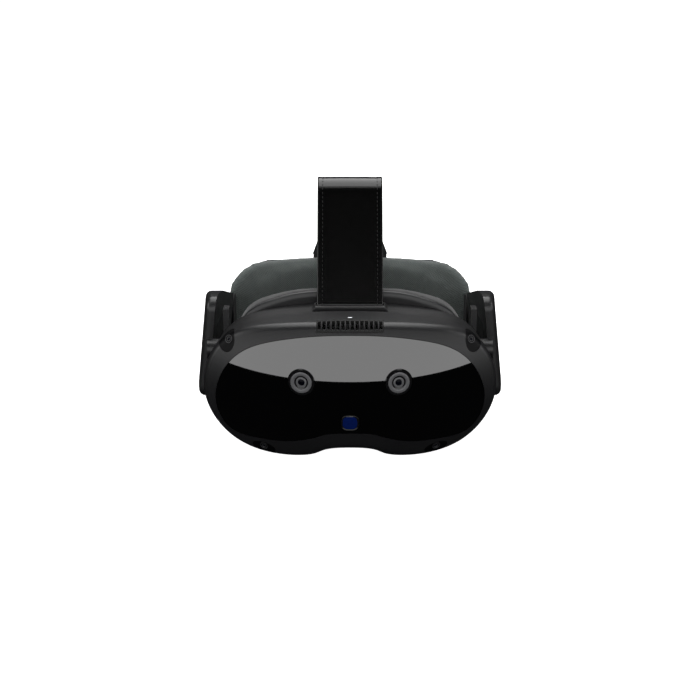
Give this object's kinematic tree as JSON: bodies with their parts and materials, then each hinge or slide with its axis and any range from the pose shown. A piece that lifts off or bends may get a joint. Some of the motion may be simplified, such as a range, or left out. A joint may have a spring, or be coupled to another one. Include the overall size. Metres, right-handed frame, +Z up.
{
  "type": "vr headset",
  "caption": "Head-worn virtual reality headset: curved visor with cameras and sliding lenses, hinged side arms, rear cradle with fit dial and battery, overhead strap.",
  "frame": {"origin": "on the table surface below the middle of the headset's overall box, in its plane of symmetry", "axes": "+Z up, -Y the way the cameras and the wearer look, +Y the back of the head, +X the wearer's left"},
  "size_m": [0.2218, 0.31, 0.1747],
  "materials": {
    "gloss_black": "polished black front plate",
    "bezel_plastic": "satin dark grey",
    "dark_window": "smoked gloss",
    "vent_plastic": "fine texture",
    "light_guide": "milky white",
    "camera_black": "black with ringed glass",
    "sensor_blue": "deep blue gloss",
    "housing_plastic": "satin grey",
    "chassis_metal": "cast magnesium grey",
    "circuit_board": "solder mask green",
    "heat_sink_metal": "bare fins",
    "steel": "plain",
    "shroud_rubber": "soft matt",
    "strap_webbing": "woven black elastic",
    "barrel_plastic": "fine texture",
    "lens_glass": "coated clear",
    "display_black": "unlit panel",
    "gear_plastic": "natural acetal",
    "button_plastic": "satin",
    "face_foam": "soft matt covering",
    "arm_plastic": "satin dark grey",
    "arm_inner_plastic": "fine texture",
    "cradle_plastic": "satin black",
    "knit_fabric": "greenish grey mesh knit",
    "battery_plastic": "satin dark grey",
    "cell_wrap": "foil pouch",
    "dial_plastic": "ribbed edge"
  },
  "bodies": {
    "visor": {"front_plate": "gloss_black", "front_bezel": "bezel_plastic", "tracking_windows": "dark_window", "vent_grille": "vent_plastic", "status_light": "light_guide", "tracking_camera_upper_left": "camera_black", "tracking_camera_upper_right": "camera_black", "tracking_camera_lower_left": "camera_black", "tracking_camera_lower_right": "camera_black", "colour_camera_left": "camera_black", "colour_camera_right": "camera_black", "depth_sensor": "sensor_blue", "rear_housing": "housing_plastic", "chassis": "chassis_metal", "main_board": "circuit_board", "heat_sink": "heat_sink_metal", "fan_housing": "vent_plastic", "ipd_motor": "steel", "guide_rods": "steel", "eye_shroud": "shroud_rubber", "usb_port": "steel", "strap_anchor": "housing_plastic", "housing_screws": "steel", "hinge_bracket_left": "arm_plastic", "hinge_bracket_right": "arm_plastic", "hinge_pins": "steel", "top_strap_front": "strap_webbing"},
    "fan_rotor": {"fan_rotor": "vent_plastic"},
    "left_lens_module": {"lens_barrel_left": "barrel_plastic", "lens_left": "lens_glass", "display_left": "display_black", "eye_tracking_ring_left": "camera_black"},
    "right_lens_module": {"lens_barrel_right": "barrel_plastic", "lens_right": "lens_glass", "display_right": "display_black", "eye_tracking_ring_right": "camera_black"},
    "ipd_pinion": {"ipd_pinion": "gear_plastic"},
    "power_button": {"power_button": "button_plastic"},
    "volume_down_button": {"volume_down_button": "button_plastic"},
    "volume_up_button": {"volume_up_button": "button_plastic"},
    "face_gasket": {"gasket_frame": "arm_plastic", "gasket_magnets": "steel", "face_cushion": "face_foam"},
    "headband": {"side_arm_left": "arm_plastic", "side_arm_right": "arm_plastic", "speaker_cover_left": "arm_inner_plastic", "speaker_cover_right": "arm_inner_plastic", "speaker_drivers": "camera_black"},
    "rear_cradle": {"cradle_front_shell": "cradle_plastic", "cradle_rear_shell": "cradle_plastic", "cradle_screws": "steel", "rear_cushion": "knit_fabric", "strap_loop": "cradle_plastic", "top_strap_rear": "strap_webbing"},
    "battery": {"battery_case": "battery_plastic", "battery_cells": "cell_wrap"},
    "release_button": {"release_button": "button_plastic"},
    "fit_dial": {"fit_dial": "dial_plastic"},
    "fit_rack_left": {"fit_rack_left": "gear_plastic"},
    "fit_rack_right": {"fit_rack_right": "gear_plastic"}
  },
  "joints": [
    {"name": "headband_tilt", "type": "hinge", "parent": "visor", "child": "headband", "pos_m": [0, -0.072, 0.057], "axis": [1, 0, 0], "range_deg": [-10, 15], "deforming": ["top_strap_front"]},
    {"name": "cradle_slide", "type": "slide", "parent": "headband", "child": "rear_cradle", "axis": [0, 1, 0], "range_m": [-0.012, 0.016], "deforming": ["top_strap_rear"]},
    {"name": "fit_dial_turn", "type": "hinge", "parent": "rear_cradle", "child": "fit_dial", "pos_m": [0, 0.15, 0.023], "axis": [0, 1, 0], "range_deg": [-86, 115]},
    {"name": "fit_rack_left_slide", "type": "slide", "parent": "rear_cradle", "child": "fit_rack_left", "axis": [1, 0, 0], "range_m": [-0.0121, 0.0161]},
    {"name": "fit_rack_right_slide", "type": "slide", "parent": "rear_cradle", "child": "fit_rack_right", "axis": [1, 0, 0], "range_m": [-0.0161, 0.0121]},
    {"name": "battery_lift", "type": "slide", "parent": "rear_cradle", "child": "battery", "axis": [0, 0, 1], "range_m": [0, 0.05]},
    {"name": "release_button_press", "type": "slide", "parent": "rear_cradle", "child": "release_button", "axis": [-0.4419, -0.8971, 0], "range_m": [0, 0.0012], "stiffness_N_per_m": 800},
    {"name": "gasket_pull", "type": "slide", "parent": "visor", "child": "face_gasket", "axis": [0, 1, 0], "range_m": [0, 0.03]},
    {"name": "left_lens_slide", "type": "slide", "parent": "visor", "child": "left_lens_module", "axis": [1, 0, 0], "range_m": [-0.00375, 0.00375]},
    {"name": "right_lens_slide", "type": "slide", "parent": "visor", "child": "right_lens_module", "axis": [1, 0, 0], "range_m": [-0.00375, 0.00375]},
    {"name": "ipd_pinion_turn", "type": "hinge", "parent": "visor", "child": "ipd_pinion", "pos_m": [0, -0.1045, 0.072], "axis": [0, 1, 0], "range_deg": [-54, 54]},
    {"name": "fan_turn", "type": "hinge", "parent": "visor", "child": "fan_rotor", "pos_m": [0, -0.138, 0.062], "axis": [0, 1, 0], "continuous": true},
    {"name": "power_button_press", "type": "slide", "parent": "visor", "child": "power_button", "axis": [0, 0, 1], "range_m": [0, 0.0006], "stiffness_N_per_m": 800},
    {"name": "volume_down_press", "type": "slide", "parent": "visor", "child": "volume_down_button", "axis": [0, 0, 1], "range_m": [0, 0.0006], "stiffness_N_per_m": 800},
    {"name": "volume_up_press", "type": "slide", "parent": "visor", "child": "volume_up_button", "axis": [0, 0, 1], "range_m": [0, 0.0006], "stiffness_N_per_m": 800}
  ],
  "couplings": [
    {"joint": "fit_dial_turn", "follows": "cradle_slide", "rad_per_m": 125},
    {"joint": "fit_rack_left_slide", "follows": "cradle_slide", "ratio": 1},
    {"joint": "fit_rack_right_slide", "follows": "cradle_slide", "ratio": -1},
    {"joint": "right_lens_slide", "follows": "left_lens_slide", "ratio": -1},
    {"joint": "ipd_pinion_turn", "follows": "left_lens_slide", "rad_per_m": 250}
  ]
}
